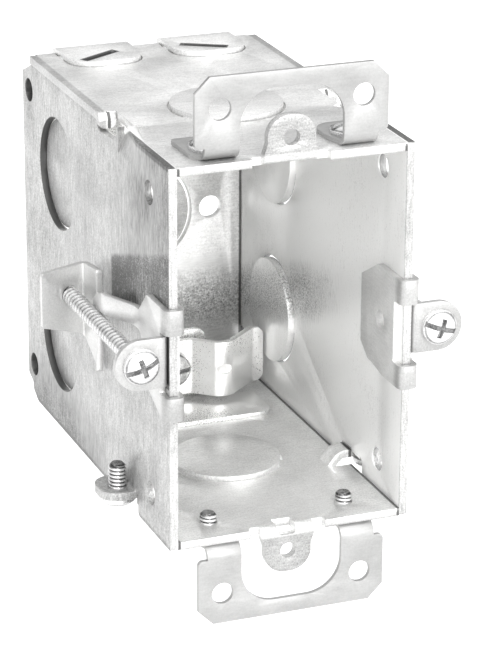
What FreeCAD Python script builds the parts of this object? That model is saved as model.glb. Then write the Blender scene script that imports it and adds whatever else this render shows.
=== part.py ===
import FreeCAD, Part
import math
import os

# Old-work switch box with removable sides, in millimetres.
# X runs to the right, Y into the box from its open front, Z up.
# The origin is the centre of the front opening.

V = FreeCAD.Vector

# Body: one sheet folded round top, back and bottom
sheet = 1.6
box_height = 76.2
channel_width = 46.0
box_depth = 87.3
rear_bend = 4.5
top_overhang = 0.3
half_height = box_height / 2
half_channel = channel_width / 2
inside_z = half_height - sheet
plate_face_x = half_channel + sheet
wide_top_x = plate_face_x + top_overhang

# Round knockouts
knockout_r = 11.1
knockout_gap = 0.5
knockout_push = 0.9
plate_knockout_push = 1.25
knockout_tie = 3.2
wall_knockout_share = 0.4
wall_knockout_y = wall_knockout_share * box_depth
back_hole_r = 2.5
back_hole_inset = 7.2
back_hole_x = half_channel - back_hole_inset
pilot_hole_r = 1.1
pilot_hole_inset = 4.5
pilot_hole_x = half_channel - pilot_hole_inset
pilot_hole_y = 14.0

# Cable pry-outs at the rear of the top and bottom walls
pry_inner_x = 3.2
pry_outer_inset = 3.5
pry_outer_x = half_channel - pry_outer_inset
pry_front_setback = 17.3
pry_front_y = box_depth - pry_front_setback
pry_back_setback = 1.9
pry_back_y = box_depth - pry_back_setback
pry_corner = 5.5
pry_gap = 0.35
pry_lift = 1.0
pry_tie = 2.4
pry_slot_width = 1.6
pry_slot_inner_x = 7.9
pry_slot_inner_setback = 10.4
pry_slot_outer_x = 14.8
pry_slot_outer_setback = 14.4
pry_slot_shift = -1.0

# Device tabs, which take the switch
device_spacing = 83.34
device_tab_x = -0.45
device_tab_width = 10.9
device_tab_half = 4.8
device_tab_reach = 4.4
device_tab_corner = 4.2
device_tab_root = 0.6
device_tab_shoulder = 1.0
device_hole_r = 1.6
device_bend = 2.0
device_relief_width = 2.4
device_relief_depth = 1.5
device_relief_corner = 0.9
tab_window_width = 3.85
tab_window_x = -0.18
tab_window_reach = 3.7
tab_window_drop = 0.3
tab_window_corner = 0.8

# Hook tabs and notches where the side plates hang on the body
hook_y = 38.5
hook_inner_inset = 1.6
hook_inner_x = half_channel - hook_inner_inset
hook_drop = 3.2
hook_bend = 1.8
hook_corner = 1.2
notch_front_y = 17.8
notch_mid_y = 25.4
notch_depth = 1.8
notch_lean = 0.3
nick_depth = 2.0
nick_corner = 0.4
nick_front_y = 27.4
nick_back_y = 29.6

# Lips of the bottom wall that the plate screws clamp
lip_front_y = 24.2
lip_back_y = 28.6
lip_reach = 1.9
lip_root_inset = 8.1
lip_root_x = half_channel - lip_root_inset
lip_rise_start_inset = 4.1
lip_rise_start_x = half_channel - lip_rise_start_inset
lip_rise_end_inset = 2.1
lip_rise_end_x = half_channel - lip_rise_end_inset
lip_bend = 1.6
lip_gap = 0.6

# Side plates
plate_depth = box_depth + sheet
plate_corner = 0.5
plate_fit = 0.2
plate_hole_r = 2.4
plate_front_hole_y = 11.0
plate_rear_hole_setback = 4.3
plate_rear_hole_y = plate_depth - plate_rear_hole_setback
plate_hole_drop = 7.7
plate_hole_z = half_height - plate_hole_drop
plate_knockout_setback = 22.7
plate_knockout_y = plate_depth - plate_knockout_setback
plate_knockout_z = 17.6
rear_step_drop = 4.5
rear_step_z = half_height - rear_step_drop
rear_step_setback = 2.9
rear_step_y = plate_depth - rear_step_setback
rear_step_splay = 1.2
rear_step_lean = 0.5
rear_step_corner = 1.0
rear_corner_setback = 6.2
rear_corner_y = plate_depth - rear_corner_setback
rear_corner_low = 2.5
rear_corner_high = 1.5

# Upper edge of each side plate, with its pressed tongue and its notch
tongue_low_drop = 5.1
tongue_low_z = half_height - tongue_low_drop
tongue_lean = 1.9
tongue_back_y = 28.3
plate_notch_front_y = 28.9
plate_notch_lip = 0.4
plate_notch_side = 1.6
plate_notch_side_corner = 0.6
plate_notch_run = 2.5
plate_notch_curve = 3.0
plate_notch_low_drop = 3.9
plate_notch_low_z = half_height - plate_notch_low_drop
plate_notch_fall = 0.6
plate_notch_corner = 2.0

# Lug at the foot of each side plate, with its screw
lug_y = 23.6
lug_axis_out = 2.5
lug_r = 3.9
lug_back = 5.6
lug_top_rise = 4.5
lug_top_z = lug_top_rise - half_height
lug_bend = 2.2
lug_relief = 1.3
lug_relief_corner = 1.0
lug_relief_splay = 1.2
lug_notch_corner = 1.6
lug_notch_rise = 0.5
lug_fit = 0.2
plate_screw_r = 1.75
plate_screw_length = 6.6
plate_head_r = 3.5
plate_head_h = 2.5

# Plaster ears
ear_sheet = 0.9
ear_half_width_inset = 3.75
ear_half_width = half_channel - ear_half_width_inset
ear_reach_rise = 16.3
ear_reach = half_height + ear_reach_rise
ear_front_y = 0.8
bottom_ear_lead = 1.7
ear_bend = 2.8
ear_chamfer = 3.0
ear_heel = 1.0
ear_hole_inset = 4.95
ear_hole_x = ear_half_width - ear_hole_inset
ear_hole_drop = 6.2
ear_hole_z = ear_reach - ear_hole_drop
ear_hole_r = 2.2
ear_gap_half = 10.4
ear_gap_top_drop = 3.1
ear_gap_top = ear_reach - ear_gap_top_drop
ear_gap_corner = 7.0
foot_front_half_inset = 1.95
foot_front_half = ear_half_width - foot_front_half_inset
foot_half_inset = 0.35
foot_half = ear_half_width - foot_half_inset
foot_splay_front_y = 2.9
foot_splay_back_y = 4.9
foot_inner_x = 9.5
foot_inner_y = 7.5
foot_back_y = 15.0
foot_inner_corner = 3.8
foot_outer_corner = 0.8
ear_screw_inset = 5.05
ear_screw_x = ear_half_width - ear_screw_inset
ear_screw_y = 7.35
ear_screw_r = 1.75
ear_head_r = 3.7
ear_head_h = 1.75
ear_screw_length = 4.5
ear_travel = 4.0
ear_slot_clearance = 0.3

# Wall clamps folded from one strap
strap = 1.15
strap_fit = 0.1
hook_gap = 0.3
clamp_hook_top = 11.0
clamp_hook_bottom = -11.1
clamp_window_top = 6.1
clamp_window_bottom = -6.4
clamp_window_back_y = 2.1
clamp_window_corner = 0.6
clamp_corner = 1.5

# Inner leg of the strap, inside the side plate
inner_leg_lift = 0.7
inner_leg_bend_y = 12.3
inner_leg_bend_r = 3.0
inner_leg_back_y = 16.4
inner_leg_top_y = 10.1
inner_leg_end_top = 6.5
inner_leg_end_bottom = -5.3
inner_leg_low_y = 13.6
inner_leg_low_z = -9.8
inner_leg_foot_y = 6.9
inner_leg_hole_r = 1.85
inner_leg_hole_y = 8.4

# Outer leg and the band that swings out past the wall board
outer_leg_top_y = 9.2
outer_leg_back_y = 13.8
outer_leg_root_y = 16.3
outer_leg_low_y = 10.2
outer_leg_low_z = -7.0
outer_leg_foot_y = 1.2
band_low = 2.5
band_high = 6.4
band_swing = 4.9
band_root_r = 6.0
band_swing_y = 24.5
band_swing_r = 4.0
band_ease = 1.3
band_turn_y = 33.5
band_turn_r = 2.6
band_turn_top = 2.2
band_turn_bottom = -0.8
band_top_dip_y = 25.5
band_bottom_dip_y = 29.5
band_root_top = 1.6
band_root_bottom = -3.0

# Rear leg with its barb, and the claw
leg_front_y = 38.0
leg_front_r = 1.6
leg_back_y = 44.9
leg_out = 1.4
leg_back_r = 1.6
leg_top = 6.3
leg_bottom = -8.5
barb_root_y = 43.5
barb_tip_y = 36.8
barb_tip_z = -15.5
barb_tip_r = 0.4
claw_reach = 12.8
claw_front_y = 40.2
claw_bottom = -4.8

# Ears and screws of the wall clamps
clamp_screw_out = 5.7
clamp_screw_z = 0.6
clamp_ear_r = 5.0
clamp_ear_bend = 1.6
clamp_screw_r = 1.75
clamp_screw_length = 50.0
clamp_head_r = 3.5
clamp_head_h = 2.2
clamp_head_turn = 19.0
clamp_hole_clearance = 0.2

# Cable saddles
saddle_setback = 21.2
saddle_y = box_depth - saddle_setback
saddle_drop = 8.35
saddle_z = inside_z - saddle_drop
saddle_height = 12.1
saddle_corner = 1.8
saddle_sheet = 1.3
saddle_half_inset = 1.7
saddle_half = half_channel - saddle_half_inset
saddle_toe_x = 18.9
saddle_toe_drop = 2.0
saddle_toe_r = 1.0
saddle_lobe_x = 10.2
saddle_lobe_rise = 5.35
saddle_lobe_r = 3.9
saddle_flat_half = 4.2
saddle_flat_r = 1.2
saddle_travel_in = 0.8
dimple_x = 10.2
dimple_length = 3.3
dimple_width = 2.1
dimple_depth = 0.45
saddle_screw_r = 1.95
saddle_screw_length = 12.0
saddle_head_r = 3.8
saddle_head_h = 2.4

# Brackets behind the cable saddles
bracket_sheet = 1.0
bracket_half_inset = 4.8
bracket_half = half_channel - bracket_half_inset
bracket_front_setback = 33.3
bracket_front_y = box_depth - bracket_front_setback
bracket_foot_length = 12.0
bracket_corner = 3.0
bracket_heel = 1.0
post_gap = 0.6
post_front_y = saddle_y + saddle_sheet + saddle_travel_in + post_gap
post_half = 8.5
post_height = 15.7
post_corner = 2.5
post_bend = 2.0

# Screws and fits
thread_fit = 0.05
slot_width = 1.0
slot_depth_share = 0.55
cross_arm_share = 0.55
pan_rim_share = 0.4
tip_chamfer = 0.6
margin = 1.0
beyond = 4.0
left = -1
right = 1


def on_plane(plane, a, b, h):
    """Point at a, b in the named plane and h along its normal."""
    if plane == "xy":
        return V(a, b, h)
    if plane == "xz":
        return V(a, h, b)
    return V(h, a, b)


def rounded_edges(points, plane, h):
    """Edges of a closed outline; a third value at a corner rounds it."""
    count = len(points)
    starts = []
    ends = []
    middles = []
    for index, corner in enumerate(points):
        here = V(corner[0], corner[1], 0)
        radius = corner[2] if len(corner) > 2 else 0
        before = V(points[index - 1][0], points[index - 1][1], 0) - here
        after = V(points[(index + 1) % count][0], points[(index + 1) % count][1], 0) - here
        if radius <= 0:
            starts.append(here)
            ends.append(here)
            middles.append(None)
            continue
        before.normalize()
        after.normalize()
        half_angle = before.getAngle(after) / 2
        reach = radius / math.tan(half_angle)
        inward = before + after
        inward.normalize()
        starts.append(here + before * reach)
        ends.append(here + after * reach)
        middles.append(here + inward * (radius / math.sin(half_angle) - radius))
    edges = []
    for index in range(count):
        if middles[index] is not None:
            arc = [on_plane(plane, p.x, p.y, h) for p in (starts[index], middles[index], ends[index])]
            edges.append(Part.Arc(*arc).toShape())
        here = on_plane(plane, ends[index].x, ends[index].y, h)
        ahead = starts[(index + 1) % count]
        there = on_plane(plane, ahead.x, ahead.y, h)
        if here.distanceToPoint(there) > 1e-6:
            edges.append(Part.LineSegment(here, there).toShape())
    return edges


def prism(points, plane, low, high):
    """Solid of an outline in the named plane, between two heights along its normal."""
    face = Part.Face(Part.Wire(rounded_edges(points, plane, low)))
    return face.extrude(on_plane(plane, 0, 0, high - low))


def folded(path, thickness):
    """Outline of a folded strip: path is one face with its bend radii, thickness lies to its left."""
    far = []
    for index, point in enumerate(path):
        here = V(point[0], point[1], 0)
        normals = []
        if index > 0:
            step = here - V(path[index - 1][0], path[index - 1][1], 0)
            step.normalize()
            normals.append(V(-step.y, step.x, 0))
        if index < len(path) - 1:
            step = V(path[index + 1][0], path[index + 1][1], 0) - here
            step.normalize()
            normals.append(V(-step.y, step.x, 0))
        if len(normals) == 1:
            moved = here + normals[0] * thickness
            far.append((moved.x, moved.y))
            continue
        total = normals[0] + normals[1]
        moved = here + total * (thickness / (1 + normals[0].dot(normals[1])))
        turn = normals[0].cross(normals[1]).z
        radius = point[2] if len(point) > 2 else 0
        change = -abs(thickness) if turn * thickness > 0 else abs(thickness)
        far.append((moved.x, moved.y, max(radius + change, 0) if radius > 0 else 0))
    return list(path) + far[::-1]


def block(x0, x1, y0, y1, z0, z1):
    """Box between two corners."""
    return Part.makeBox(x1 - x0, y1 - y0, z1 - z0, V(x0, y0, z0))


def rod(radius, start, end):
    """Cylinder from one point to another."""
    along = end - start
    return Part.makeCylinder(radius, along.Length, start, along)


def joined(shapes):
    """One solid from pieces of the same sheet."""
    whole = shapes[0]
    for shape in shapes[1:]:
        whole = whole.fuse(shape)
    return whole.removeSplitter()


def mirrored_x(shape):
    return shape.mirror(V(0, 0, 0), V(1, 0, 0))


def mirrored_z(shape):
    return shape.mirror(V(0, 0, 0), V(0, 0, 1))


def placed(shape, position, direction):
    """Copy of a shape built along +Z from the origin, turned along direction and moved."""
    copy = shape.copy()
    copy.Placement = FreeCAD.Placement(position, FreeCAD.Rotation(V(0, 0, 1), direction))
    return copy


def with_knockout(wall, centre, direction, push, tie_angles):
    """Wall with a round knockout: its disc is pushed proud and hangs on small ties."""
    ring = Part.makeCylinder(knockout_r + knockout_gap, sheet + 2 * beyond, V(0, 0, -beyond))
    plug = Part.makeCylinder(knockout_r, sheet, V(0, 0, push))
    for angle in tie_angles:
        tie = Part.makeBox(2 * (knockout_gap + margin), knockout_tie, sheet - push,
                           V(knockout_r - margin, -knockout_tie / 2, push))
        tie.rotate(V(0, 0, 0), V(0, 0, 1), angle)
        plug = plug.fuse(tie)
    return wall.cut(placed(ring, centre, direction)).fuse(placed(plug, centre, direction))


def slot_bar(start, end, width, low, high):
    """Upright bar with round ends, the tool for a slot in a level wall."""
    first = V(start[0], start[1], low)
    second = V(end[0], end[1], low)
    run = second - first
    side = V(-run.y, run.x, 0)
    side.normalize()
    side = side * (width / 2)
    corners = [first + side, first - side, second - side, second + side, first + side]
    bar = Part.Face(Part.makePolygon(corners)).extrude(V(0, 0, high - low))
    for point in (first, second):
        bar = bar.fuse(Part.makeCylinder(width / 2, high - low, point))
    return bar


def body_section(lift=0.0):
    """Top, back and bottom walls as one folded sheet, across the channel's width."""
    path = [(0, half_height + lift), (box_depth, half_height + lift, rear_bend),
            (box_depth, -half_height - lift, rear_bend), (0, -half_height - lift)]
    return prism(folded(path, -sheet), "yz", -half_channel, half_channel)


def pry_outline(shrink):
    """Outline of the right-hand pry-out in the top wall."""
    return [(pry_inner_x + shrink, pry_back_y - shrink),
            (pry_inner_x + shrink, pry_front_y + shrink, pry_corner - shrink),
            (pry_outer_x - shrink, pry_front_y + shrink, pry_corner - shrink),
            (pry_outer_x - shrink, pry_back_y - shrink)]


def with_pry_outs(body):
    """Cable pry-outs: D-shaped pieces nearly cut free, each with a slot for a screwdriver."""
    low = half_height - rear_bend - beyond
    high = half_height + beyond
    hole = prism(pry_outline(0), "xy", low, high)
    piece = body_section(pry_lift).common(prism(pry_outline(pry_gap), "xy", low, high))
    middle = (pry_inner_x + pry_outer_x) / 2
    shared = half_height - sheet + pry_lift
    tie = block(middle - pry_tie / 2, middle + pry_tie / 2, pry_front_y - margin, pry_front_y + margin,
                shared, half_height)
    side_y = pry_front_y + pry_corner + pry_tie
    side_ties = [block(x - margin, x + margin, side_y, side_y + pry_tie, shared, half_height)
                 for x in (pry_inner_x, pry_outer_x)]
    slot = slot_bar((pry_slot_inner_x, box_depth - pry_slot_inner_setback),
                    (pry_slot_outer_x, box_depth - pry_slot_outer_setback), pry_slot_width, low, high)
    shift = V(pry_slot_shift, 0, 0)
    slots = [slot.translated(shift), mirrored_x(slot).translated(shift)]
    piece = piece.fuse(tie).fuse(side_ties[0]).fuse(side_ties[1])
    pieces = [piece.cut(slots[0]), mirrored_x(piece).cut(slots[1])]
    holes = [hole, mirrored_x(hole)]
    body = body.cut(holes + [mirrored_z(shape) for shape in holes])
    return body.fuse(pieces + [mirrored_z(shape) for shape in pieces])


def device_tab():
    """Upper device tab: the top wall's front edge turned up, with the threaded hole."""
    centre = device_spacing / 2
    top = centre + device_tab_reach
    half = device_tab_width / 2
    path = [(device_bend + sheet, inside_z), (0, inside_z, device_bend), (0, top + margin)]
    strip = prism(folded(path, -sheet), "yz", device_tab_x - half, device_tab_x + half)
    view = [(device_tab_x - half, inside_z - beyond),
            (device_tab_x + half, inside_z - beyond),
            (device_tab_x + half, half_height + device_tab_root),
            (device_tab_x + device_tab_half, centre - device_tab_shoulder),
            (device_tab_x + device_tab_half, top, device_tab_corner),
            (device_tab_x - device_tab_half, top, device_tab_corner),
            (device_tab_x - device_tab_half, centre - device_tab_shoulder),
            (device_tab_x - half, half_height + device_tab_root)]
    hole = rod(device_hole_r, V(device_tab_x, -beyond, centre), V(device_tab_x, beyond, centre))
    return strip.common(prism(view, "xz", -beyond, 2 * beyond)).cut(hole)


def tab_relief():
    """Metal taken from the top wall's front edge beside and behind the device tab."""
    half = device_tab_width / 2
    wide = half + device_relief_width
    behind = block(device_tab_x - half, device_tab_x + half, -beyond, device_bend,
                   inside_z - beyond, half_height + beyond)
    beside = prism([(device_tab_x - wide, -beyond), (device_tab_x + wide, -beyond),
                    (device_tab_x + wide, device_relief_depth, device_relief_corner),
                    (device_tab_x - wide, device_relief_depth, device_relief_corner)], "xy",
                   inside_z - beyond, half_height + beyond)
    return beside.fuse(behind)


def tab_window():
    """Small window through the bend of the lower device tab."""
    middle = device_tab_x + tab_window_x
    low = -half_height - tab_window_drop
    return prism([(middle - tab_window_width / 2, low, tab_window_corner),
                  (middle + tab_window_width / 2, low, tab_window_corner),
                  (middle + tab_window_width / 2, -inside_z + sheet),
                  (middle - tab_window_width / 2, -inside_z + sheet)],
                 "xz", -beyond, tab_window_reach)


def top_notch():
    """Left-hand notch in the top wall in front of the hook tab, with its small nick."""
    inner = half_channel - notch_depth
    return prism([(-wide_top_x - beyond, notch_front_y), (-half_channel, notch_front_y),
                  (-inner - notch_lean, notch_mid_y), (-inner + nick_depth, nick_front_y, nick_corner),
                  (-inner, nick_back_y), (-inner, hook_y + sheet / 2),
                  (-wide_top_x - beyond, hook_y + sheet / 2)],
                 "xy", inside_z - beyond / 2, half_height + beyond)


def hook_tab():
    """Left-hand hook tab: turned down at the rear of the notch, where the side plate catches."""
    low = half_height - hook_drop
    path = [(hook_y + 2 * sheet + hook_bend, half_height), (hook_y, half_height, hook_bend), (hook_y, low)]
    strip = prism(folded(path, sheet), "yz", -wide_top_x, -hook_inner_x)
    view = prism([(-wide_top_x, half_height + beyond), (-wide_top_x, low, hook_corner),
                  (-hook_inner_x, low, hook_corner), (-hook_inner_x, half_height + beyond)],
                 "xz", hook_y - beyond, hook_y + 2 * beyond)
    return strip.common(view)


def bottom_lip():
    """Left-hand lip of the bottom wall, stepped up to lie level with the side plate's lug."""
    level = lug_top_z - sheet
    path = [(-lip_root_x, -half_height), (-lip_rise_start_x, -half_height, lip_bend),
            (-lip_rise_end_x, level, lip_bend), (-half_channel - lip_reach, level)]
    return prism(folded(path, -sheet), "xz", lip_front_y, lip_back_y)


def bottom_lip_notch():
    """Metal taken from the bottom wall round the left-hand lip."""
    return block(-half_channel - beyond, -lip_rise_start_x, lip_front_y - lip_gap, lip_back_y + lip_gap,
                 -half_height - beyond, -inside_z + beyond)


def box_body():
    """The folded body with its tabs, hooks, lips, knockouts and pry-outs."""
    body = body_section()
    wide = block(-wide_top_x, wide_top_x, hook_y + hook_bend, box_depth - rear_bend,
                 inside_z, half_height)
    notch = top_notch()
    lip_notch = bottom_lip_notch()
    relief = tab_relief()
    body = body.fuse(wide).cut([notch, mirrored_x(notch), lip_notch, mirrored_x(lip_notch),
                                relief, mirrored_z(relief)])
    hook = hook_tab()
    lip = bottom_lip()
    tab = device_tab()
    body = body.fuse([hook, mirrored_x(hook), lip, mirrored_x(lip), tab, mirrored_z(tab)])
    body = with_pry_outs(body)
    up = V(0, 0, 1)
    body = with_knockout(body, V(0, box_depth - sheet, 0), V(0, 1, 0), knockout_push, (90, 270))
    body = with_knockout(body, V(0, wall_knockout_y, inside_z), up, knockout_push, (30, 210))
    body = with_knockout(body, V(0, wall_knockout_y, -half_height), up, knockout_push, (150, 330))
    cutters = [tab_window()]
    for side in (left, right):
        cutters.append(rod(back_hole_r, V(side * back_hole_x, box_depth - beyond, 0),
                           V(side * back_hole_x, box_depth + beyond, 0)))
        cutters.append(rod(ear_screw_r + thread_fit, V(side * ear_screw_x, ear_screw_y, -half_height - margin),
                           V(side * ear_screw_x, ear_screw_y, half_height + margin)))
    cutters.append(rod(pilot_hole_r, V(-pilot_hole_x, pilot_hole_y, -half_height - margin),
                       V(-pilot_hole_x, pilot_hole_y, -inside_z + margin)))
    return body.cut(cutters).removeSplitter()


def plate_outline():
    """Side plate seen from the left: Y along, Z up, with its notches and stepped rear corners."""
    relief_front = lug_y - lug_r - lug_relief
    relief_back = lip_back_y + lip_gap
    relief_top = lug_top_z + lug_notch_rise
    hook_rear = hook_y + 1.5 * sheet + plate_fit
    edge = inside_z - plate_fit
    side_z = half_height - plate_notch_side
    return [(0, -half_height, plate_corner),
            (relief_front, -half_height, lug_relief_corner),
            (relief_front, relief_top, lug_notch_corner),
            (relief_back, relief_top, lug_notch_corner),
            (relief_back + lug_relief_splay, -half_height, lug_relief_corner),
            (rear_corner_y, -half_height, rear_corner_low),
            (rear_step_y - rear_step_lean, -inside_z, rear_step_corner),
            (rear_step_y, -rear_step_z - rear_step_splay, plate_corner),
            (plate_depth, -rear_step_z, plate_corner),
            (plate_depth, rear_step_z, plate_corner),
            (rear_step_y, rear_step_z + rear_step_splay, plate_corner),
            (rear_corner_y, edge, rear_corner_high),
            (hook_rear, edge, plate_corner),
            (hook_rear, plate_notch_low_z, plate_notch_corner),
            (plate_notch_front_y + plate_notch_run, plate_notch_low_z + plate_notch_fall, plate_notch_curve),
            (plate_notch_front_y, side_z, plate_notch_side_corner),
            (plate_notch_front_y - plate_notch_lip, half_height),
            (0, half_height, plate_corner)]


def plate_tongue():
    """Upper edge of the left plate pressed inward, to sit in the top wall's notch."""
    outer = -plate_face_x
    inner = -half_channel
    start = [V(outer, notch_front_y, tongue_low_z), V(inner, notch_front_y, tongue_low_z),
             V(inner, notch_front_y, half_height), V(outer, notch_front_y, half_height)]
    end = [V(outer, tongue_back_y, tongue_low_z), V(inner, tongue_back_y, tongue_low_z),
           V(inner + tongue_lean, tongue_back_y, half_height),
           V(outer + tongue_lean, tongue_back_y, half_height)]
    wires = [Part.makePolygon(corners + corners[:1]) for corners in (start, end)]
    return Part.makeLoft(wires, True, True)


def plate_lug():
    """Lug turned outward from the foot of the left plate, cut away beside the body's lip and tapped."""
    lower = lug_top_z - sheet
    axis_x = -plate_face_x - lug_axis_out
    out = axis_x - lug_r
    low = lug_y - lug_r
    high = lug_y + lug_back
    path = [(-half_channel, lug_top_z + beyond), (-half_channel, lower, lug_bend), (out, lower)]
    strip = prism(folded(path, -sheet), "xz", low, high)
    lip_x = -half_channel - lip_reach - lug_fit
    lip_y = lip_front_y - lug_fit
    plan = [(-half_channel + margin, low), (out, low, lug_r), (out, high, lug_r),
            (lip_x, high), (lip_x, lip_y), (-half_channel + margin, lip_y)]
    shaped = strip.common(prism(plan, "xy", lower - margin, lug_top_z + beyond + margin))
    hole = rod(plate_screw_r + thread_fit, V(axis_x, lug_y, lower - margin),
               V(axis_x, lug_y, lug_top_z + margin))
    return shaped.cut(hole)


def left_side_plate():
    """Flat removable side with its lug, pressed tongue, holes and two knockouts."""
    plate = prism(plate_outline(), "yz", -plate_face_x, -half_channel)
    pressed = block(-plate_face_x - margin, -half_channel + margin, notch_front_y, tongue_back_y,
                    tongue_low_z, half_height + margin)
    plate = plate.cut(pressed).fuse([plate_tongue(), plate_lug()])
    for z in (plate_knockout_z, -plate_knockout_z):
        centre = V(-plate_face_x, plate_knockout_y, z)
        plate = with_knockout(plate, centre, V(1, 0, 0), plate_knockout_push, (90, 270))
    holes = [rod(plate_hole_r, V(-plate_face_x - margin, y, z), V(-half_channel + margin, y, z))
             for y in (plate_front_hole_y, plate_rear_hole_y) for z in (plate_hole_z, -plate_hole_z)]
    return plate.cut(holes).removeSplitter()


def pan_screw(head_r, head_h, shank_r, length):
    """Slotted pan-head screw: underside of the head at the origin, shank down -Z."""
    rim = head_h * pan_rim_share
    crown = head_h - rim
    sphere_r = (head_r ** 2 + crown ** 2) / (2 * crown)
    half_way = math.asin(head_r / sphere_r) / 2
    on_crown = V(sphere_r * math.sin(half_way), 0, head_h - sphere_r + sphere_r * math.cos(half_way))
    profile = [V(head_r, 0, rim), V(head_r, 0, 0), V(shank_r, 0, 0), V(shank_r, 0, tip_chamfer - length),
               V(shank_r - tip_chamfer, 0, -length), V(0, 0, -length), V(0, 0, head_h)]
    edges = [Part.LineSegment(profile[index], profile[index + 1]).toShape()
             for index in range(len(profile) - 1)]
    edges.append(Part.Arc(profile[-1], on_crown, profile[0]).toShape())
    screw = Part.Face(Part.Wire(edges)).revolve(V(0, 0, 0), V(0, 0, 1), 360)
    floor = head_h * (1 - slot_depth_share)
    return screw.cut(block(-head_r - margin, head_r + margin, -slot_width / 2, slot_width / 2,
                           floor, head_h + margin))


def left_plate_screw():
    """Screw up through the lug; its head clamps the lug and the body's lip from below."""
    screw = pan_screw(plate_head_r, plate_head_h, plate_screw_r, plate_screw_length)
    return placed(screw, V(-plate_face_x - lug_axis_out, lug_y, lug_top_z - sheet), V(0, 0, -1))


def top_plaster_ear():
    """Plaster ear: an L of thin sheet whose two feet lie on the wall under their screws."""
    strip_path = [(ear_front_y, ear_reach), (ear_front_y, half_height, ear_bend), (foot_back_y, half_height)]
    strip = prism(folded(strip_path, ear_sheet), "yz", -ear_half_width, ear_half_width)
    bend_top = half_height + ear_bend
    right_edge = [(foot_front_half, bend_top), (ear_half_width, bend_top, ear_heel),
                  (ear_half_width, ear_reach - ear_chamfer), (ear_half_width - ear_chamfer, ear_reach)]
    gap = [(-ear_gap_half, bend_top), (-ear_gap_half, ear_gap_top, ear_gap_corner),
           (ear_gap_half, ear_gap_top, ear_gap_corner), (ear_gap_half, bend_top)]
    left_edge = [(-corner[0],) + corner[1:] for corner in reversed(right_edge)]
    upright = strip.common(prism(right_edge + left_edge + gap, "xz", -beyond, beyond))
    hole = rod(ear_hole_r, V(ear_hole_x, -beyond, ear_hole_z), V(ear_hole_x, beyond, ear_hole_z))
    foot_plan = [(ear_gap_half, -beyond), (foot_front_half, -beyond),
                 (foot_front_half, foot_splay_front_y), (foot_half, foot_splay_back_y),
                 (foot_half, foot_back_y, foot_outer_corner),
                 (foot_inner_x, foot_back_y, foot_inner_corner), (foot_inner_x, foot_inner_y),
                 (ear_gap_half, foot_splay_front_y)]
    foot = strip.common(prism(foot_plan, "xy", half_height - margin, bend_top))
    slot = slot_bar((ear_screw_x, ear_screw_y), (ear_screw_x, ear_screw_y + ear_travel),
                    2 * (ear_screw_r + ear_slot_clearance), half_height - margin, bend_top)
    foot = foot.cut(slot)
    return joined([upright.cut([hole, mirrored_x(hole)]), foot, mirrored_x(foot)])


def top_ear_screw(side):
    """Screw that holds one foot of the upper ear on the top wall."""
    screw = pan_screw(ear_head_r, ear_head_h, ear_screw_r, ear_screw_length)
    return placed(screw, V(side * ear_screw_x, ear_screw_y, half_height + ear_sheet), V(0, 0, 1))


def strap_path():
    """Plan of the left wall clamp from the inner leg round the plate's edge to the rear claw."""
    inner = -half_channel
    outer = -plate_face_x - strap_fit
    swung = outer - band_swing + strap
    return [(inner + inner_leg_lift, inner_leg_back_y), (inner, inner_leg_bend_y, inner_leg_bend_r),
            (inner, -hook_gap, hook_gap), (outer, -hook_gap, hook_gap),
            (outer, outer_leg_root_y, band_root_r), (swung, band_swing_y, band_swing_r),
            (swung + band_ease, band_turn_y, band_turn_r), (outer - strap_fit, leg_front_y, leg_front_r),
            (outer - leg_out, leg_back_y, leg_back_r), (-plate_face_x - claw_reach, claw_front_y)]


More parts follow.
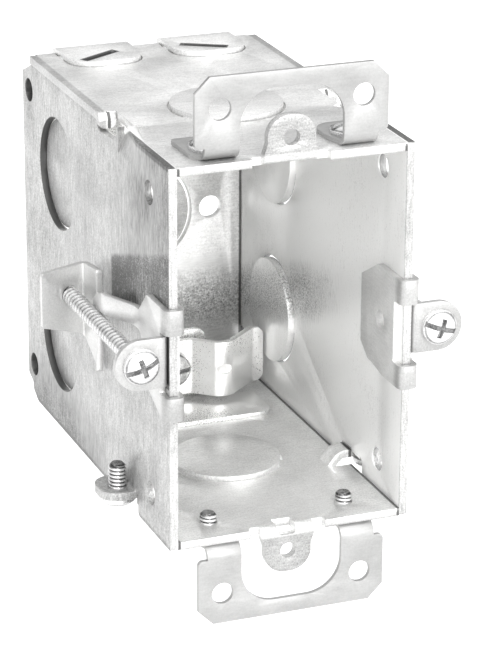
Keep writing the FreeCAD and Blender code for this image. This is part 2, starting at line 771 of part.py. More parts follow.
def left_wall_clamp():
    """Old-work clamp: one strap hooked on the plate's front edge, with band, barbed leg and claw."""
    low = barb_tip_z - margin
    high = clamp_hook_top + margin
    strip = prism(folded(strap_path(), strap), "xy", low, high)
    hook_view = [(-beyond, clamp_hook_bottom), (-beyond, clamp_window_bottom),
                 (clamp_window_back_y, clamp_window_bottom, clamp_window_corner),
                 (clamp_window_back_y, clamp_window_top, clamp_window_corner), (-beyond, clamp_window_top),
                 (-beyond, clamp_hook_top)]
    inner_view = hook_view + [(inner_leg_top_y, clamp_hook_top, clamp_corner),
                              (inner_leg_back_y + margin, inner_leg_end_top),
                              (inner_leg_back_y + margin, inner_leg_end_bottom),
                              (inner_leg_low_y, inner_leg_low_z, clamp_corner),
                              (inner_leg_foot_y, clamp_hook_bottom, clamp_corner)]
    outer_view = hook_view + [(outer_leg_top_y, clamp_hook_top, clamp_corner),
                              (outer_leg_back_y, band_high, clamp_corner),
                              (band_top_dip_y, band_high, clamp_corner),
                              (band_turn_y, band_turn_top), (leg_front_y, band_root_top),
                              (leg_front_y, leg_top, clamp_window_corner), (leg_back_y + beyond, leg_top),
                              (leg_back_y + beyond, leg_bottom), (barb_root_y, leg_bottom, clamp_corner),
                              (barb_tip_y, barb_tip_z, barb_tip_r), (leg_front_y, leg_bottom),
                              (leg_front_y, band_root_bottom), (band_turn_y, band_turn_bottom),
                              (band_bottom_dip_y, band_low),
                              (outer_leg_back_y - margin, band_low, clamp_corner),
                              (outer_leg_low_y, outer_leg_low_z, clamp_corner),
                              (outer_leg_foot_y, clamp_hook_bottom, clamp_window_corner)]
    split_x = -half_channel - sheet / 2
    root_x = -plate_face_x - strap_fit
    leg_face_x = root_x - strap - leg_out
    claw_end_x = -plate_face_x - claw_reach + margin / 2
    inside = strip.common(prism(inner_view, "yz", split_x, 0))
    outside = strip.common(prism(outer_view, "yz", claw_end_x, split_x))
    outside = outside.cut(block(claw_end_x - margin, leg_face_x, leg_front_y, leg_back_y + beyond, low, high))
    claw_view = [(leg_face_x, leg_top), (leg_face_x, leg_bottom),
                 (claw_end_x, claw_bottom, clamp_window_corner), (claw_end_x, leg_top, clamp_window_corner)]
    claw = strip.common(prism(claw_view, "xz", leg_front_y, leg_back_y + beyond))
    screw_x = -plate_face_x - clamp_screw_out
    ear_end_x = screw_x - clamp_ear_r
    ear_top = clamp_screw_z + clamp_ear_r
    ear_bottom = clamp_screw_z - clamp_ear_r
    ear_path = [(root_x, outer_leg_back_y / 2), (root_x, 0, clamp_ear_bend), (ear_end_x, 0)]
    ear_view = [(root_x, ear_bottom), (root_x, ear_top),
                (ear_end_x, ear_top, clamp_ear_r), (ear_end_x, ear_bottom, clamp_ear_r)]
    ear = prism(folded(ear_path, -strap), "xy", ear_bottom, ear_top)
    ear = ear.common(prism(ear_view, "xz", -beyond, outer_leg_back_y))
    clamp = joined([inside, outside, claw, ear])
    axis = V(screw_x, 0, clamp_screw_z)
    loose = rod(clamp_screw_r + clamp_hole_clearance, axis - V(0, beyond, 0), axis + V(0, beyond, 0))
    tapped = rod(clamp_screw_r + thread_fit, axis + V(0, leg_front_y - beyond, 0),
                 axis + V(0, leg_back_y + beyond, 0))
    peep = rod(inner_leg_hole_r, V(split_x, inner_leg_hole_y, 0), V(split_x + beyond, inner_leg_hole_y, 0))
    return clamp.cut([loose, tapped, peep])


def left_wall_clamp_screw():
    """Long screw that draws the claw towards the wall, slotted and cross-recessed."""
    screw = pan_screw(clamp_head_r, clamp_head_h, clamp_screw_r, clamp_screw_length)
    arm = clamp_head_r * cross_arm_share
    floor = clamp_head_h * (1 - slot_depth_share)
    screw = screw.cut(block(-slot_width / 2, slot_width / 2, -arm, arm, floor, clamp_head_h + margin))
    screw.rotate(V(0, 0, 0), V(0, 0, 1), clamp_head_turn)
    turned = Part.makeCompound([screw])
    return placed(turned, V(-plate_face_x - clamp_screw_out, 0, clamp_screw_z), V(0, -1, 0))


def saddle_path():
    """Plan of the cable saddle's front face, from its right leg to its left."""
    toe_y = saddle_y + saddle_toe_drop
    right_half = [(saddle_half, toe_y), (saddle_toe_x, toe_y, saddle_toe_r),
                  (saddle_lobe_x, saddle_y - saddle_lobe_rise, saddle_lobe_r),
                  (saddle_flat_half, saddle_y, saddle_flat_r)]
    left_half = [(-point[0],) + point[1:] for point in reversed(right_half)]
    return right_half + left_half


def lower_cable_saddle():
    """Saddle that presses two cables: a strap with two lobes and a flat foot at each end."""
    low = -saddle_z - saddle_height / 2
    high = -saddle_z + saddle_height / 2
    strip = prism(folded(saddle_path(), -saddle_sheet), "xy", low, high)
    view = [(-saddle_half, low, saddle_corner), (saddle_half, low, saddle_corner),
            (saddle_half, high, saddle_corner), (-saddle_half, high, saddle_corner)]
    strip = strip.common(prism(view, "xz", saddle_y - 2 * beyond, saddle_y + 2 * beyond))
    cutters = [rod(saddle_screw_r + thread_fit, V(0, saddle_y - beyond, -saddle_z),
                   V(0, saddle_y + beyond, -saddle_z))]
    half = (dimple_length - dimple_width) / 2
    for side in (left, right):
        bar = slot_bar((side * dimple_x - half, -saddle_z), (side * dimple_x + half, -saddle_z),
                       dimple_width, 0, beyond)
        bar.rotate(V(0, 0, 0), V(1, 0, 0), 90)
        bar.translate(V(0, strip.BoundBox.YMin + dimple_depth, 0))
        cutters.append(bar)
    return strip.cut(cutters)


def lower_clamp_bracket():
    """Bracket on the bottom wall: a foot and the tapped post behind the saddle."""
    floor = -inside_z
    top = floor + post_height
    post_back = post_front_y + bracket_sheet
    foot_back = bracket_front_y + bracket_foot_length
    path = [(bracket_front_y + bracket_corner, floor), (post_back, floor, post_bend), (post_back, top)]
    post = prism(folded(path, bracket_sheet), "yz", -post_half, post_half)
    foot = prism([(-bracket_half, bracket_front_y, bracket_corner),
                  (bracket_half, bracket_front_y, bracket_corner),
                  (bracket_half, foot_back, bracket_heel), (-bracket_half, foot_back, bracket_heel)],
                 "xy", floor, floor + bracket_sheet)
    view = [(-post_half, floor), (post_half, floor), (post_half, top, post_corner),
            (-post_half, top, post_corner)]
    post = post.common(prism(view, "xz", 0, box_depth))
    hole = rod(saddle_screw_r + thread_fit, V(0, post_front_y - margin, -saddle_z),
               V(0, post_back + margin, -saddle_z))
    return joined([foot, post]).cut(hole)


def lower_saddle_screw():
    """Screw through the saddle into the post."""
    screw = pan_screw(saddle_head_r, saddle_head_h, saddle_screw_r, saddle_screw_length)
    return placed(screw, V(0, saddle_y, -saddle_z), V(0, -1, 0))


def all_pieces():
    """Every node by name; the right side mirrors the left and the top mirrors the bottom."""
    pieces = {"box_body": box_body()}
    lefts = {"side_plate": left_side_plate(), "plate_screw": left_plate_screw(),
             "wall_clamp": left_wall_clamp(), "wall_clamp_screw": left_wall_clamp_screw()}
    for name, shape in lefts.items():
        pieces["left_" + name] = shape
        pieces["right_" + name] = mirrored_x(shape)
    ear = top_plaster_ear()
    pieces["top_plaster_ear"] = ear
    pieces["bottom_plaster_ear"] = mirrored_z(ear).translated(V(0, -bottom_ear_lead, 0))
    for side, word in ((left, "left"), (right, "right")):
        screw = top_ear_screw(side)
        pieces["top_" + word + "_ear_screw"] = screw
        pieces["bottom_" + word + "_ear_screw"] = mirrored_z(screw)
    lowers = {"cable_saddle": lower_cable_saddle(), "clamp_bracket": lower_clamp_bracket(),
              "saddle_screw": lower_saddle_screw()}
    for name, shape in lowers.items():
        pieces["lower_" + name] = shape
        pieces["upper_" + name] = mirrored_z(shape)
    return pieces


os.makedirs("parts", exist_ok=True)
for node, shape in all_pieces().items():
    solid = shape.Solids[0] if len(shape.Solids) == 1 else shape
    print(node, "solids", len(shape.Solids), "volume", round(shape.Volume, 2), "valid", shape.isValid())
    solid.exportStep("parts/" + node + ".step")
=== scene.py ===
import bpy
import bmesh
import math
from mathutils import Matrix, Vector


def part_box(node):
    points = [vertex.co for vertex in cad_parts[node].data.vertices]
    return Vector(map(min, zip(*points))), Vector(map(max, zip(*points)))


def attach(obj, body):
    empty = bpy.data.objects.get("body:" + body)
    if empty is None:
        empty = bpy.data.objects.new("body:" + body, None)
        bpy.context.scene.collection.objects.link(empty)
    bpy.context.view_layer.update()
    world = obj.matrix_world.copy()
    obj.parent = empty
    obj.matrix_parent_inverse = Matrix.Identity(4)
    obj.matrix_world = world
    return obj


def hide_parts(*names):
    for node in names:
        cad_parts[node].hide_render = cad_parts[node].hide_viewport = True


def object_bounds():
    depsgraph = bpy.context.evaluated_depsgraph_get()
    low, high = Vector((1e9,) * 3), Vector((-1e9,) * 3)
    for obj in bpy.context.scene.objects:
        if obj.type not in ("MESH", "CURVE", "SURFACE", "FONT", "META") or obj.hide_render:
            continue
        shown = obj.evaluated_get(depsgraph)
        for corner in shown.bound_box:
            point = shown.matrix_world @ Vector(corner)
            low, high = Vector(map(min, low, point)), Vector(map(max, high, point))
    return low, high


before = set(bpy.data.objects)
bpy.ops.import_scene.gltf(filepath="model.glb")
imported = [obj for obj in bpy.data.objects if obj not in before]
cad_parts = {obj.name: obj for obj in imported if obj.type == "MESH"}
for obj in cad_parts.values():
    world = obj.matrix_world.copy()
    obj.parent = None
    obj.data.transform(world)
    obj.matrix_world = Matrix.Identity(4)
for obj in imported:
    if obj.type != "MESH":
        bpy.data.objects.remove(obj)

cad_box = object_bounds()

# Camera at the photograph's viewpoint: a long lens from the upper left of the open front.
# The place, the directions and the focal length come from the box's own corners in the photo.
camera_place = Vector((-0.204306, -0.496737, 0.204500))
camera_right = Vector((0.93102809, -0.36491449, 0.0049104))
camera_down = Vector((-0.12386193, -0.32861556, -0.93630659))
camera_forward = Vector((0.34328547, 0.87111953, -0.35114933))
focal_pixels = 3042.76
frame_pixels = 500
film_width = 36.0
camera_data = bpy.data.cameras.new("camera")
camera_data.sensor_fit = "HORIZONTAL"
camera_data.sensor_width = film_width
camera_data.lens = focal_pixels * film_width / frame_pixels
camera_data.clip_start = 0.01
camera_data.clip_end = 20.0
camera = bpy.data.objects.new("camera", camera_data)
turn = Matrix((camera_right, -camera_down, -camera_forward)).transposed()
camera.matrix_world = Matrix.Translation(camera_place) @ turn.to_4x4()
bpy.context.scene.collection.objects.link(camera)
bpy.context.scene.camera = camera
bpy.context.scene.view_settings.view_transform = "Standard"

# Studio: a pale floor just under the box and a pale room of soft light all round it,
# brightest in front of the box, so that its inside is lit, and bright overhead.
class Shade:
    """A shader socket that adds its own Math nodes when it is used in an expression."""

    def __init__(self, tree, socket=None):
        self.tree = tree
        self.socket = socket

    def feed(self, target, value):
        """Links a Shade to a socket, or sets the socket's own value."""
        if isinstance(value, Shade):
            self.tree.links.new(value.socket, target)
        else:
            target.default_value = value

    def node(self, kind, settings=None, values=None, output=0):
        """New node of a kind, with its settings first and then its sockets' values or links."""
        made = self.tree.nodes.new(kind)
        for key, value in (settings or {}).items():
            setattr(made, key, value)
        for key, value in (values or {}).items():
            self.feed(made.inputs[key], value)
        return Shade(self.tree, made.outputs[output])

    def maths(self, operation, first, second=0.0, third=0.0, clamp=False):
        return self.node("ShaderNodeMath", {"operation": operation, "use_clamp": clamp},
                         {0: first, 1: second, 2: third})

    def __add__(self, other):
        return self.maths("ADD", self, other)

    __radd__ = __add__

    def __sub__(self, other):
        return self.maths("SUBTRACT", self, other)

    def __rsub__(self, other):
        return self.maths("SUBTRACT", other, self)

    def __mul__(self, other):
        return self.maths("MULTIPLY", self, other)

    __rmul__ = __mul__

    def size(self):
        return self.maths("ABSOLUTE", self)

    def spread(self, low, high):
        """The value spread from low..high onto 0..1, and held there."""
        return self.maths("MULTIPLY_ADD", self, 1 / (high - low), -low / (high - low), clamp=True)

    def axis(self, letter):
        """One part of a vector."""
        return self.node("ShaderNodeSeparateXYZ", None, {0: self}, "XYZ".index(letter))


floor_drop = 0.004
floor_half = 3.0
floor_shade = 0.45
floor_glow = 0.80
floor_mesh = bmesh.new()
bmesh.ops.create_grid(floor_mesh, x_segments=1, y_segments=1, size=floor_half)
floor_height = cad_box[0][2] - floor_drop
bmesh.ops.translate(floor_mesh, verts=floor_mesh.verts, vec=(0, 0, floor_height))
floor_data = bpy.data.meshes.new("floor")
floor_mesh.to_mesh(floor_data)
floor_mesh.free()
floor = bpy.data.objects.new("floor", floor_data)
bpy.context.scene.collection.objects.link(floor)
floor_material = bpy.data.materials.new("pale_floor")
floor_material.use_nodes = True
floor_shader = floor_material.node_tree.nodes["Principled BSDF"]
floor_shader.inputs["Base Color"].default_value = (floor_shade, floor_shade, floor_shade, 1)
floor_shader.inputs["Roughness"].default_value = 0.9
floor_shader.inputs["Emission Color"].default_value = (1, 1, 1, 1)
floor_shader.inputs["Emission Strength"].default_value = floor_glow
floor.data.materials.append(floor_material)

room_glow = 0.34
front_glow = 2.3
sky_glow = 0.95
world = bpy.data.worlds.new("pale_room")
bpy.context.scene.world = world
world.use_nodes = True
way = Shade(world.node_tree).node("ShaderNodeTexCoord", output="Generated")
in_front = way.axis("Y").spread(0.0, -1.0)
overhead = way.axis("Z").spread(0.0, 1.0)
room_light = room_glow + in_front * front_glow + overhead * sky_glow
way.feed(world.node_tree.nodes["Background"].inputs["Strength"], room_light)
world.node_tree.nodes["Background"].inputs["Color"].default_value = (1, 1, 1, 1)


def soft_lamp(name, place, aim, width, watts):
    """A square soft lamp at a place, facing a point of the box."""
    light = bpy.data.lights.new(name, "AREA")
    light.shape = "SQUARE"
    light.size = width
    light.energy = watts
    lamp = bpy.data.objects.new(name, light)
    lamp.location = place
    lamp.rotation_euler = (Vector(aim) - Vector(place)).to_track_quat("-Z", "Y").to_euler()
    bpy.context.scene.collection.objects.link(lamp)


soft_lamp("overhead_lamp", place=(0.15, -0.10, 0.9), aim=(0, 0.04, 0), width=0.4, watts=1.0)
soft_lamp("front_lamp", place=(0.10, -0.9, 0.35), aim=(0, 0.08, 0), width=0.3, watts=2.5)


# Box body: one blank of zinc-coated sheet steel, folded round top, back and bottom,
# with its two device tabs bent outwards, its hook tabs turned down and its knockouts pushed proud.
def noise(place, scale, detail, roughness, stretch=(1, 1, 1)):
    """Fractal noise at a scale per metre, stretched along the axes, centred on 0."""
    mapped = place.node("ShaderNodeMapping", None, {"Vector": place, "Scale": stretch})
    return place.node("ShaderNodeTexNoise", None, {"Vector": mapped, "Scale": scale, "Detail": detail,
                                                   "Roughness": roughness}) - 0.5


rolled_stretch = 0.16
streak_scale = 2300.0
grain_scale = 2900.0
cloud_scale = 70.0
zinc_tone = 0.62
streak_weight = 1.6
grain_weight = 1.7
cloud_weight = 0.5
gloss_swing = 0.15
dark_blue = 0.985
pale_blue = 0.992
relief_depth = 0.00005


def zinc_sheet(name, dark, pale, rolling, roughness, streak, speckle, metal, shades=None, relief=0.12):
    """Material of zinc-coated sheet: rolling is the axis of its short streaks, and shades takes
    the place and the tone and gives the tone with the piece's painted light and painted shade."""
    material = bpy.data.materials.new(name)
    material.use_nodes = True
    tree = material.node_tree
    shader = tree.nodes["Principled BSDF"]
    place = Shade(tree).node("ShaderNodeTexCoord", output="Object")
    along = tuple(rolled_stretch if axis == rolling else 1.0 for axis in "XYZ")
    streaks = noise(place, streak_scale, detail=2.0, roughness=0.7, stretch=along)
    grain = noise(place, grain_scale, detail=2.0, roughness=0.8)
    clouds = noise(place, cloud_scale, detail=3.0, roughness=0.6)
    tone = zinc_tone + streaks * (streak_weight * streak) + grain * (grain_weight * speckle)
    tone = tone + clouds * cloud_weight
    if shades:
        tone = shades(place, tone, grain)
    mix = place.node("ShaderNodeMix", {"data_type": "RGBA"},
                     {0: tone.spread(0.0, 1.0), 6: (dark, dark, dark * dark_blue, 1),
                      7: (pale, pale, pale * pale_blue, 1)}, 2)
    place.feed(shader.inputs["Base Color"], mix)
    place.feed(shader.inputs["Roughness"], roughness + grain * gloss_swing + clouds * gloss_swing)
    shader.inputs["Metallic"].default_value = metal
    height = streaks * streak + grain * speckle + clouds * cloud_weight
    bump = place.node("ShaderNodeBump", None, {"Strength": relief, "Distance": relief_depth,
                                               "Height": height})
    place.feed(shader.inputs["Normal"], bump)
    return material


edge_width = 0.00012
fold_angle = math.radians(32)
seam_merge = 0.000001
# Painted shade along every broken edge and fold: a dark zinc that the bevels take.
shaded_edge_zinc = zinc_sheet("shaded_edge_zinc", dark=0.04, pale=0.42, rolling="X", roughness=0.45, streak=0.2,
                       speckle=0.3, metal=0.6)


def dress(node, material, width=edge_width):
    """Gives a CAD piece its finish and breaks its sharp edges as tumbling does, with painted shade along
    them in a dark zinc.
    """
    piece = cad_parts[node]
    piece.data.materials.clear()
    piece.data.materials.append(material)
    piece.data.materials.append(shaded_edge_zinc)
    weld = piece.modifiers.new("closed_seams", "WELD")
    weld.merge_threshold = seam_merge
    bevel = piece.modifiers.new("broken_edges", "BEVEL")
    bevel.limit_method = "ANGLE"
    bevel.angle_limit = fold_angle
    bevel.width = width
    bevel.segments = 2
    bevel.profile = 0.5
    bevel.material = 1
    bevel.harden_normals = True
    for polygon in piece.data.polygons:
        polygon.use_smooth = True


def within(value, limit, edge=0.00005):
    """1 where a length is under its limit and 0 beyond it."""
    return value.spread(limit + edge, limit)


def patch(place, centre, reach, core=0.2):
    """Soft round patch: 1 in its core and 0 beyond its reach along each axis."""
    scale = tuple(1 / size for size in reach)
    moved = tuple(-middle / size for middle, size in zip(centre, reach))
    near = place.node("ShaderNodeMapping", None, {"Vector": place, "Scale": scale, "Location": moved})
    far = near.node("ShaderNodeVectorMath", {"operation": "LENGTH"}, {0: near}, 1)
    return 1 - far.spread(core, 1.0)


body_outside_z = 0.0380
body_outside_y = 0.0871
outside_blend = 0.0001
front_edge_y = 0.0001
front_blend_y = 0.0004
tab_start_z = 0.0384
tab_blend_z = 0.0388
tab_rear_y = 0.0060
tab_blend_y = 0.0050
hook_start_x = 0.0232
hook_blend_x = 0.0236
seam_x = 0.0230
seam_width = 0.0006
seam_core = 0.4
seam_blend = 0.0001
pry_slot_centre = (0.01135, 0.0749)
pry_slot_way = (0.865, -0.502)
pry_slot_half = (0.0050, 0.00105)
pry_slot_shift = 0.0010
rear_band_place = (0.014, 0.0857, -0.021)
rear_band_reach = (0.03, 0.004, 0.011)
# Weights: painted light outside and inside; painted shade at the front edges, device tabs, hook tabs,
# seams, pry-out slots and in a band at the back, mottled with grain.
body_outside_painted_light = 0.08
body_inside_painted_light = 0.12
body_front_painted_shade = 0.16
tab_painted_shade = 0.22
hook_painted_shade = 0.30
slot_painted_shade = 2.0
seam_painted_shade = 1.5
rear_band_painted_shade = 0.28
rear_band_shade_mottle = 3.0


def body_shades(place, tone, grain):
    """Painted light outside and inside; painted shade at the front edges, on the device tabs and hook
    tabs, in the seams at the side plates, in the pry-out slots and in a mottled band at the back.
    """
    height = place.axis("Z").size()
    depth = place.axis("Y")
    side = place.axis("X").size()
    outside = height.spread(body_outside_z - outside_blend, body_outside_z)
    outside = outside + depth.spread(body_outside_y - outside_blend, body_outside_y)
    inside = 1 - outside
    # Painted shade in the seams at the side plates.
    seam = side.spread(seam_x - seam_width, seam_x - seam_core * seam_width)
    seam = seam * within(side, seam_x + seam_blend)
    # Painted shade in the pry-out slots and along their punched edges.
    across = (place.axis("X") + pry_slot_shift).size() - pry_slot_centre[0]
    behind = depth - pry_slot_centre[1]
    along = (across * pry_slot_way[0] + behind * pry_slot_way[1]).size()
    beside = (behind * pry_slot_way[0] - across * pry_slot_way[1]).size()
    slot = within(along, pry_slot_half[0]) * within(beside, pry_slot_half[1])
    # Painted shade in a band low on the back wall.
    band = patch(place, rear_band_place, rear_band_reach)
    front = depth.spread(front_blend_y, front_edge_y)
    tabs = height.spread(tab_start_z, tab_blend_z) * depth.spread(tab_rear_y, tab_blend_y)
    hooks = side.spread(hook_start_x, hook_blend_x)
    tone = tone + outside * body_outside_painted_light + inside * body_inside_painted_light - front * body_front_painted_shade
    tone = tone - tabs * tab_painted_shade - hooks * hook_painted_shade - slot * slot_painted_shade - seam * inside * seam_painted_shade
    return tone - band * rear_band_painted_shade - band * grain * rear_band_shade_mottle


body_zinc = zinc_sheet("body_zinc", dark=0.12, pale=0.98, rolling="X", roughness=0.36, streak=0.25,
                       speckle=0.45, metal=0.6, shades=body_shades)
dress("box_body", body_zinc)

# Side plates: two flat removable sides of the same sheet, rolled upright so that fine streaks
# run from top to bottom. Each hangs on the body's hook tab and is clamped at its lug.
plate_outside_x = 0.0233
plate_blend_x = 0.0231
plate_edge_z = 0.0376
plate_edge_blend_z = 0.0372
# Painted shade on the outside: ahead of the clamp, in a slanted strip beside it, low behind, along the
# top and bottom edges and between its hooks; a painted shadow of the clamp's strap inside; painted shade
# in the knockouts' slits, the rear hole and at the front edge.
ahead_shade_y = (0.038, 0.002)
ahead_shade_z = (-0.006, 0.014)
reflection_slope = 0.318
clamp_side_shade_height = 0.0166
clamp_side_shade_half = 0.0042
clamp_side_shade_blend = 0.0012
clamp_side_shade_rear_y = (0.0332, 0.0326)
clamp_side_shade_fade_y = (0.018, 0.030)
clamp_side_shade_front_share = 0.45
low_rear_z = (-0.024, -0.038)
low_rear_y = (0.035, 0.060)
hook_gap_half_z = 0.0050
hook_gap_depth = 0.0054
hook_gap_blend = 0.0004
inner_band_height = 0.0073
inner_band_half = 0.0030
inner_band_blend = 0.0055
inner_band_y = (0.026, 0.050)
knockout_place = (0.0662, 0.0176)
knockout_ring = (0.01102, 0.01168)
ring_blend = 0.00005
knockout_open_y = (0.0640, 0.0700)
corner_hole_place = (0.0847, 0.0304)
corner_hole_r = 0.00245
# Weights: painted light inside, painted shade outside and at the marks above, with grain mottling the
# shade.
plate_inside_painted_light = 0.46
plate_outside_painted_shade = 0.22
ahead_painted_shade = 0.20
clamp_side_painted_shade = 0.42
low_rear_painted_shade = 0.34
outside_shade_mottle = 6.0
inner_band_painted_shade = 0.42
inner_band_shade_mottle = 3.5
plate_front_painted_shade = 0.62
hole_painted_shade = 1.2
plate_edge_painted_shade = 0.2
hook_gap_painted_shade = 1.1
ring_shade_inside = 0.25
ring_shade_outside = 1.0


def distance(first, second):
    """Length of the two parts taken together."""
    return first.maths("SQRT", first * first + second * second)


def plate_shades(place, tone, grain):
    """Painted light inside; painted shade outside, ahead, beside the clamp and low behind; a painted
    shadow of the clamp's strap inside; painted shade at the front edge, in the rear hole, along the top
    and bottom edges, between the clamp's hooks and in the knockouts' slits.
    """
    across = place.axis("X").size()
    depth = place.axis("Y")
    height = place.axis("Z")
    level = height.size()
    front = depth.spread(front_blend_y, front_edge_y)
    outside = across.spread(plate_blend_x, plate_outside_x) * (1 - front)
    inside = 1 - outside
    ahead = depth.spread(*ahead_shade_y) * height.spread(*ahead_shade_z)
    # Painted shade beside the clamp, along a slanted strip.
    slanted = height + depth * reflection_slope
    clamp_side_shade = within((slanted - clamp_side_shade_height).size(), clamp_side_shade_half, clamp_side_shade_blend)
    clamp_side_shade = clamp_side_shade * depth.spread(*clamp_side_shade_rear_y)
    clamp_side_shade = clamp_side_shade * (clamp_side_shade_front_share + depth.spread(*clamp_side_shade_fade_y) * (1 - clamp_side_shade_front_share))
    low_rear = height.spread(*low_rear_z) * depth.spread(*low_rear_y)
    border = level.spread(plate_edge_blend_z, plate_edge_z)
    # Painted shade between the clamp's hooks.
    recess = within(level, hook_gap_half_z, hook_gap_blend) * within(depth, hook_gap_depth, hook_gap_blend)
    round_knockout = distance(depth - knockout_place[0], level - knockout_place[1])
    ring = round_knockout.spread(knockout_ring[0] - ring_blend, knockout_ring[0])
    ring = ring * within(round_knockout, knockout_ring[1]) * depth.spread(*knockout_open_y)
    round_hole = distance(depth - corner_hole_place[0], level - corner_hole_place[1])
    hole = within(round_hole, corner_hole_r)
    outside_shade = ahead * ahead_painted_shade + clamp_side_shade * clamp_side_painted_shade + low_rear * low_rear_painted_shade
    outside_shade = outside * outside_shade
    # Painted shadow of the clamp's strap on the inside face.
    band = within((slanted - inner_band_height).size(), inner_band_half, inner_band_blend)
    band = band * depth.spread(*inner_band_y) * inside
    tone = tone + inside * plate_inside_painted_light - outside * plate_outside_painted_shade
    tone = tone - outside_shade - outside_shade * grain * outside_shade_mottle
    tone = tone - band * inner_band_painted_shade - band * grain * inner_band_shade_mottle
    tone = tone - front * plate_front_painted_shade - hole * outside * hole_painted_shade
    tone = tone - outside * (border * plate_edge_painted_shade + recess * hook_gap_painted_shade)
    return tone - ring * (ring_shade_inside + outside * (ring_shade_outside - ring_shade_inside))


plate_zinc = zinc_sheet("plate_zinc", dark=0.10, pale=0.98, rolling="Z", roughness=0.40, streak=0.40,
                        speckle=0.5, metal=0.6, shades=plate_shades)
for side in ("left", "right"):
    dress(side + "_side_plate", plate_zinc)


# Plate screws: short pan-head machine screws of zinc-plated steel, up through the lug of each plate.
# Every screw here keeps its head and gets a rolled thread in place of its plain shank.
plating_tone = 0.80
plating_grain = 0.5
plating_clouds = 0.6
# Painted shade in the thread's grooves and in the head's recess, by their depth.
groove_start = 0.15
groove_painted_shade = 0.95
plating_grain_scale = 3000.0
plating_cloud_scale = 500.0
plating_roughness = 0.28
plating_gloss_grain = 0.12
plating_gloss_clouds = 0.14
plating_relief = 0.00004


def screw_plating(name, dark, pale):
    """Bright plating on turned steel, with painted shade in the thread's grooves and the head's recess.
    """
    material = bpy.data.materials.new(name)
    material.use_nodes = True
    tree = material.node_tree
    shader = tree.nodes["Principled BSDF"]
    place = Shade(tree).node("ShaderNodeTexCoord", output="Object")
    groove = place.node("ShaderNodeAttribute", {"attribute_name": "groove"}, output="Fac")
    grain = noise(place, plating_grain_scale, detail=2.0, roughness=0.7)
    clouds = noise(place, plating_cloud_scale, detail=3.0, roughness=0.6)
    tone = plating_tone + grain * plating_grain + clouds * plating_clouds
    tone = tone - groove.spread(groove_start, 1.0) * groove_painted_shade
    mix = place.node("ShaderNodeMix", {"data_type": "RGBA"},
                     {0: tone.spread(0.0, 1.0), 6: (dark, dark, dark, 1), 7: (pale, pale, pale, 1)}, 2)
    place.feed(shader.inputs["Base Color"], mix)
    place.feed(shader.inputs["Roughness"],
               plating_roughness + grain * plating_gloss_grain + clouds * plating_gloss_clouds)
    shader.inputs["Metallic"].default_value = 0.8
    bump = place.node("ShaderNodeBump", None, {"Strength": 0.10, "Distance": plating_relief,
                                               "Height": grain + clouds})
    place.feed(shader.inputs["Normal"], bump)
    return material


screw_zinc = screw_plating("screw_zinc", dark=0.05, pale=0.90)
thread_steps = 28
thread_depth = 0.40
thread_profile = ((0.0, 0), (0.30, 1), (0.54, 1), (0.92, 0), (1.0, 0))
thread_merge = 0.000002
tip_taper = 0.0006
tip_core = 0.6
cut_slack = 0.0000001
shank_overlap = 0.00002
head_overlap = 0.00001
head_edge = 0.00010
recess_reach = 0.97
recess_floor = 0.56
recess_shade = 0.70


def root_radius(shank_r, pitch):
    """Radius at the bottom of a thread's groove."""
    return shank_r - pitch * thread_depth


def cut_flat(part, height, direction):
    """Cuts a part off flat beyond a height and closes it there."""
    geometry = part.verts[:] + part.edges[:] + part.faces[:]
    cut = bmesh.ops.bisect_plane(part, geom=geometry, dist=cut_slack, plane_co=(0, 0, height),
                                 plane_no=(0, 0, direction), clear_outer=True)
    rim = [item for item in cut["geom_cut"] if isinstance(item, bmesh.types.BMEdge)]
    bmesh.ops.contextual_create(part, geom=rim)


def rolled_thread(shank_r, length, pitch):
    """Closed threaded shank from the origin down -Z: the profile of one thread, given as shares of
    the pitch at the root (0) or the crest (1), spun along a helix."""
    shank = bmesh.new()
    root_r = root_radius(shank_r, pitch)
    radii = (root_r, shank_r)
    points = [shank.verts.new((radii[crest], 0, pitch * (1 - share))) for share, crest in thread_profile]
    edges = [shank.edges.new(pair) for pair in zip(points, points[1:])]
    turns = math.ceil(length / pitch) + 2
    bmesh.ops.spin(shank, geom=points + edges, cent=(0, 0, 0), axis=(0, 0, 1), angle=math.tau * turns,
                   dvec=(0, 0, -pitch / thread_steps), steps=thread_steps * turns)
    bmesh.ops.remove_doubles(shank, verts=shank.verts, dist=thread_merge)
    for point in shank.verts:
        past = -length + tip_taper - point.co.z
        across = math.hypot(point.co.x, point.co.y)
        if past > 0 and across > shank_r - past:
            shrink = max(shank_r - past, root_r * tip_core) / across
            point.co.x *= min(shrink, 1.0)
            point.co.y *= min(shrink, 1.0)
    cut_flat(shank, shank_overlap, 1)
    cut_flat(shank, -length, -1)
    bmesh.ops.recalc_face_normals(shank, faces=shank.faces)
    return shank


def mark_grooves(screw, shank_r, length, pitch):
    """Marks how deep each point lies in the thread's groove or in the head's recess."""
    groove = screw.verts.layers.float.new("groove")
    thread_height = shank_r - root_radius(shank_r, pitch)
    head_r = max(math.hypot(point.co.x, point.co.y) for point in screw.verts)
    head_height = max(point.co.z for point in screw.verts)
    for point in screw.verts:
        across = math.hypot(point.co.x, point.co.y)
        if tip_taper / 4 - length < point.co.z < 0:
            point[groove] = min(max((shank_r - across) / thread_height, 0.0), 1.0)
        elif across < recess_reach * head_r and point.co.z < recess_floor * head_height:
            point[groove] = recess_shade


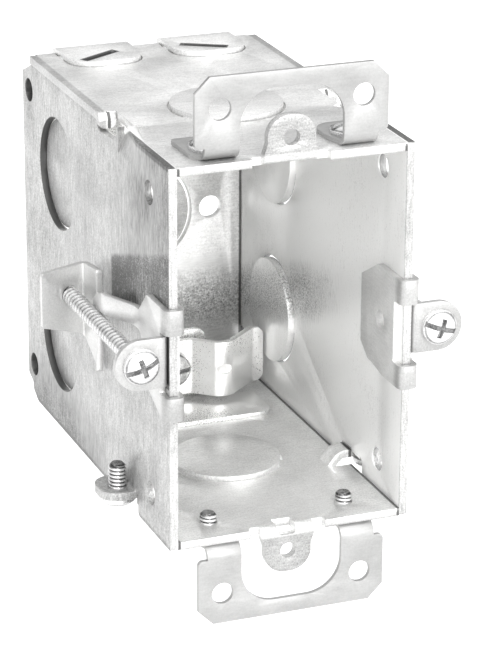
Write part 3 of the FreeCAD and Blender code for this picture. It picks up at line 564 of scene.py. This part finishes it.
def threaded_screw(node, name, underside, shank_way, shank_r, pitch, body):
    """Screw at a node's place: its head from the node, its shank threaded."""
    towards = Vector(shank_way)
    seat = Matrix.Translation(underside) @ towards.to_track_quat("-Z", "X").to_matrix().to_4x4()
    screw = bmesh.new()
    screw.from_mesh(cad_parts[node].data)
    bmesh.ops.transform(screw, matrix=seat.inverted(), verts=screw.verts)
    bmesh.ops.remove_doubles(screw, verts=screw.verts, dist=seam_merge)
    length = -min(point.co.z for point in screw.verts)
    cut_flat(screw, -head_overlap, -1)
    bmesh.ops.dissolve_limit(screw, angle_limit=math.radians(1), verts=screw.verts, edges=screw.edges)
    sharp = [edge for edge in screw.edges if edge.is_manifold and edge.calc_face_angle() > fold_angle]
    bmesh.ops.bevel(screw, geom=sharp, offset=head_edge, offset_type="OFFSET", affect="EDGES", segments=2,
                    profile=0.5, material=-1, clamp_overlap=True)
    shank = rolled_thread(shank_r, length, pitch)
    spare = bpy.data.meshes.new("shank")
    shank.to_mesh(spare)
    shank.free()
    screw.from_mesh(spare)
    bpy.data.meshes.remove(spare)
    mark_grooves(screw, shank_r, length, pitch)
    bmesh.ops.transform(screw, matrix=seat, verts=screw.verts)
    for face in screw.faces:
        face.smooth = True
    mesh = bpy.data.meshes.new(name)
    screw.to_mesh(mesh)
    screw.free()
    mesh.set_sharp_from_angle(angle=fold_angle)
    mesh.materials.append(screw_zinc)
    piece = bpy.data.objects.new(name, mesh)
    bpy.context.scene.collection.objects.link(piece)
    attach(piece, body)
    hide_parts(node)


small_pitch = 0.00079
plate_head_height = 0.0025
plate_screw_r = 0.00175
for side in ("left", "right"):
    low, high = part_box(side + "_plate_screw")
    middle = (low + high) / 2
    underside = Vector((middle.x, middle.y, low.z + plate_head_height))
    threaded_screw(side + "_plate_screw", side + "_lug_screw", underside, (0, 0, 1), plate_screw_r,
                   small_pitch, "box")

# Plaster ears: thin bright-plated sheet bent to an L, with two feet that slide under two screws,
# so that the box stands flush in a wall of any thickness. The screws are tapped into the body.
ear_zinc = zinc_sheet("ear_zinc", dark=0.10, pale=0.58, rolling="X", roughness=0.40, streak=0.12,
                      speckle=0.16, metal=0.6)
ear_edge = 0.00008
ear_head_height = 0.00175
ear_screw_r = 0.00175
for end, up in (("top", 1), ("bottom", -1)):
    dress(end + "_plaster_ear", ear_zinc, ear_edge)
    for side in ("left", "right"):
        node = end + "_" + side + "_ear_screw"
        low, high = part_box(node)
        middle = (low + high) / 2
        outer = high.z if up > 0 else low.z
        underside = Vector((middle.x, middle.y, outer - up * ear_head_height))
        threaded_screw(node, node.replace("ear_screw", "foot_screw"), underside, (0, 0, -up), ear_screw_r,
                       small_pitch, "box")

# Wall clamps: one strap of soft plated steel each, hooked on the side plate's front edge,
# with a claw at the rear that a long coarse screw draws forward against the back of the wall.
# Painted shade on the forward-facing hooks and the screw's tongue.
hook_front_y = (0.0020, 0.0004)
hook_front_painted_shade = 0.28


def clamp_shades(place, tone, grain):
    """Painted shade on the hooks and the screw's tongue, which face forward."""
    return tone - place.axis("Y").spread(*hook_front_y) * hook_front_painted_shade


clamp_zinc = zinc_sheet("clamp_zinc", dark=0.15, pale=0.98, rolling="Y", roughness=0.36, streak=0.12,
                        speckle=0.20, metal=0.6, shades=clamp_shades)
clamp_edge = 0.00010
clamp_head_height = 0.0022
clamp_screw_r = 0.00175
clamp_pitch = 0.00148
for side in ("left", "right"):
    dress(side + "_wall_clamp", clamp_zinc, clamp_edge)
    node = side + "_wall_clamp_screw"
    low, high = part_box(node)
    middle = (low + high) / 2
    underside = Vector((middle.x, low.y + clamp_head_height, middle.z))
    threaded_screw(node, side + "_clamp_long_screw", underside, (0, 1, 0), clamp_screw_r, clamp_pitch,
                   side + "_clamp_screw")

# Cable clamps: a plated saddle with two lobes presses two cables against the wall of the box,
# drawn by a pan-head screw into the tapped post of a small bracket fixed to the wall.
saddle_zinc = zinc_sheet("saddle_zinc", dark=0.60, pale=1.00, rolling="Z", roughness=0.30, streak=0.10,
                         speckle=0.15, metal=0.7, relief=0.03)
saddle_edge = 0.00010
bracket_edge = 0.00008
saddle_head_height = 0.0024
saddle_screw_r = 0.00195
for end in ("lower", "upper"):
    dress(end + "_cable_saddle", saddle_zinc, saddle_edge)
    dress(end + "_clamp_bracket", saddle_zinc, bracket_edge)
    node = end + "_saddle_screw"
    low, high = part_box(node)
    middle = (low + high) / 2
    underside = Vector((middle.x, low.y + saddle_head_height, middle.z))
    threaded_screw(node, end + "_cable_clamp_screw", underside, (0, 1, 0), saddle_screw_r, small_pitch,
                   end + "_clamp_screw")
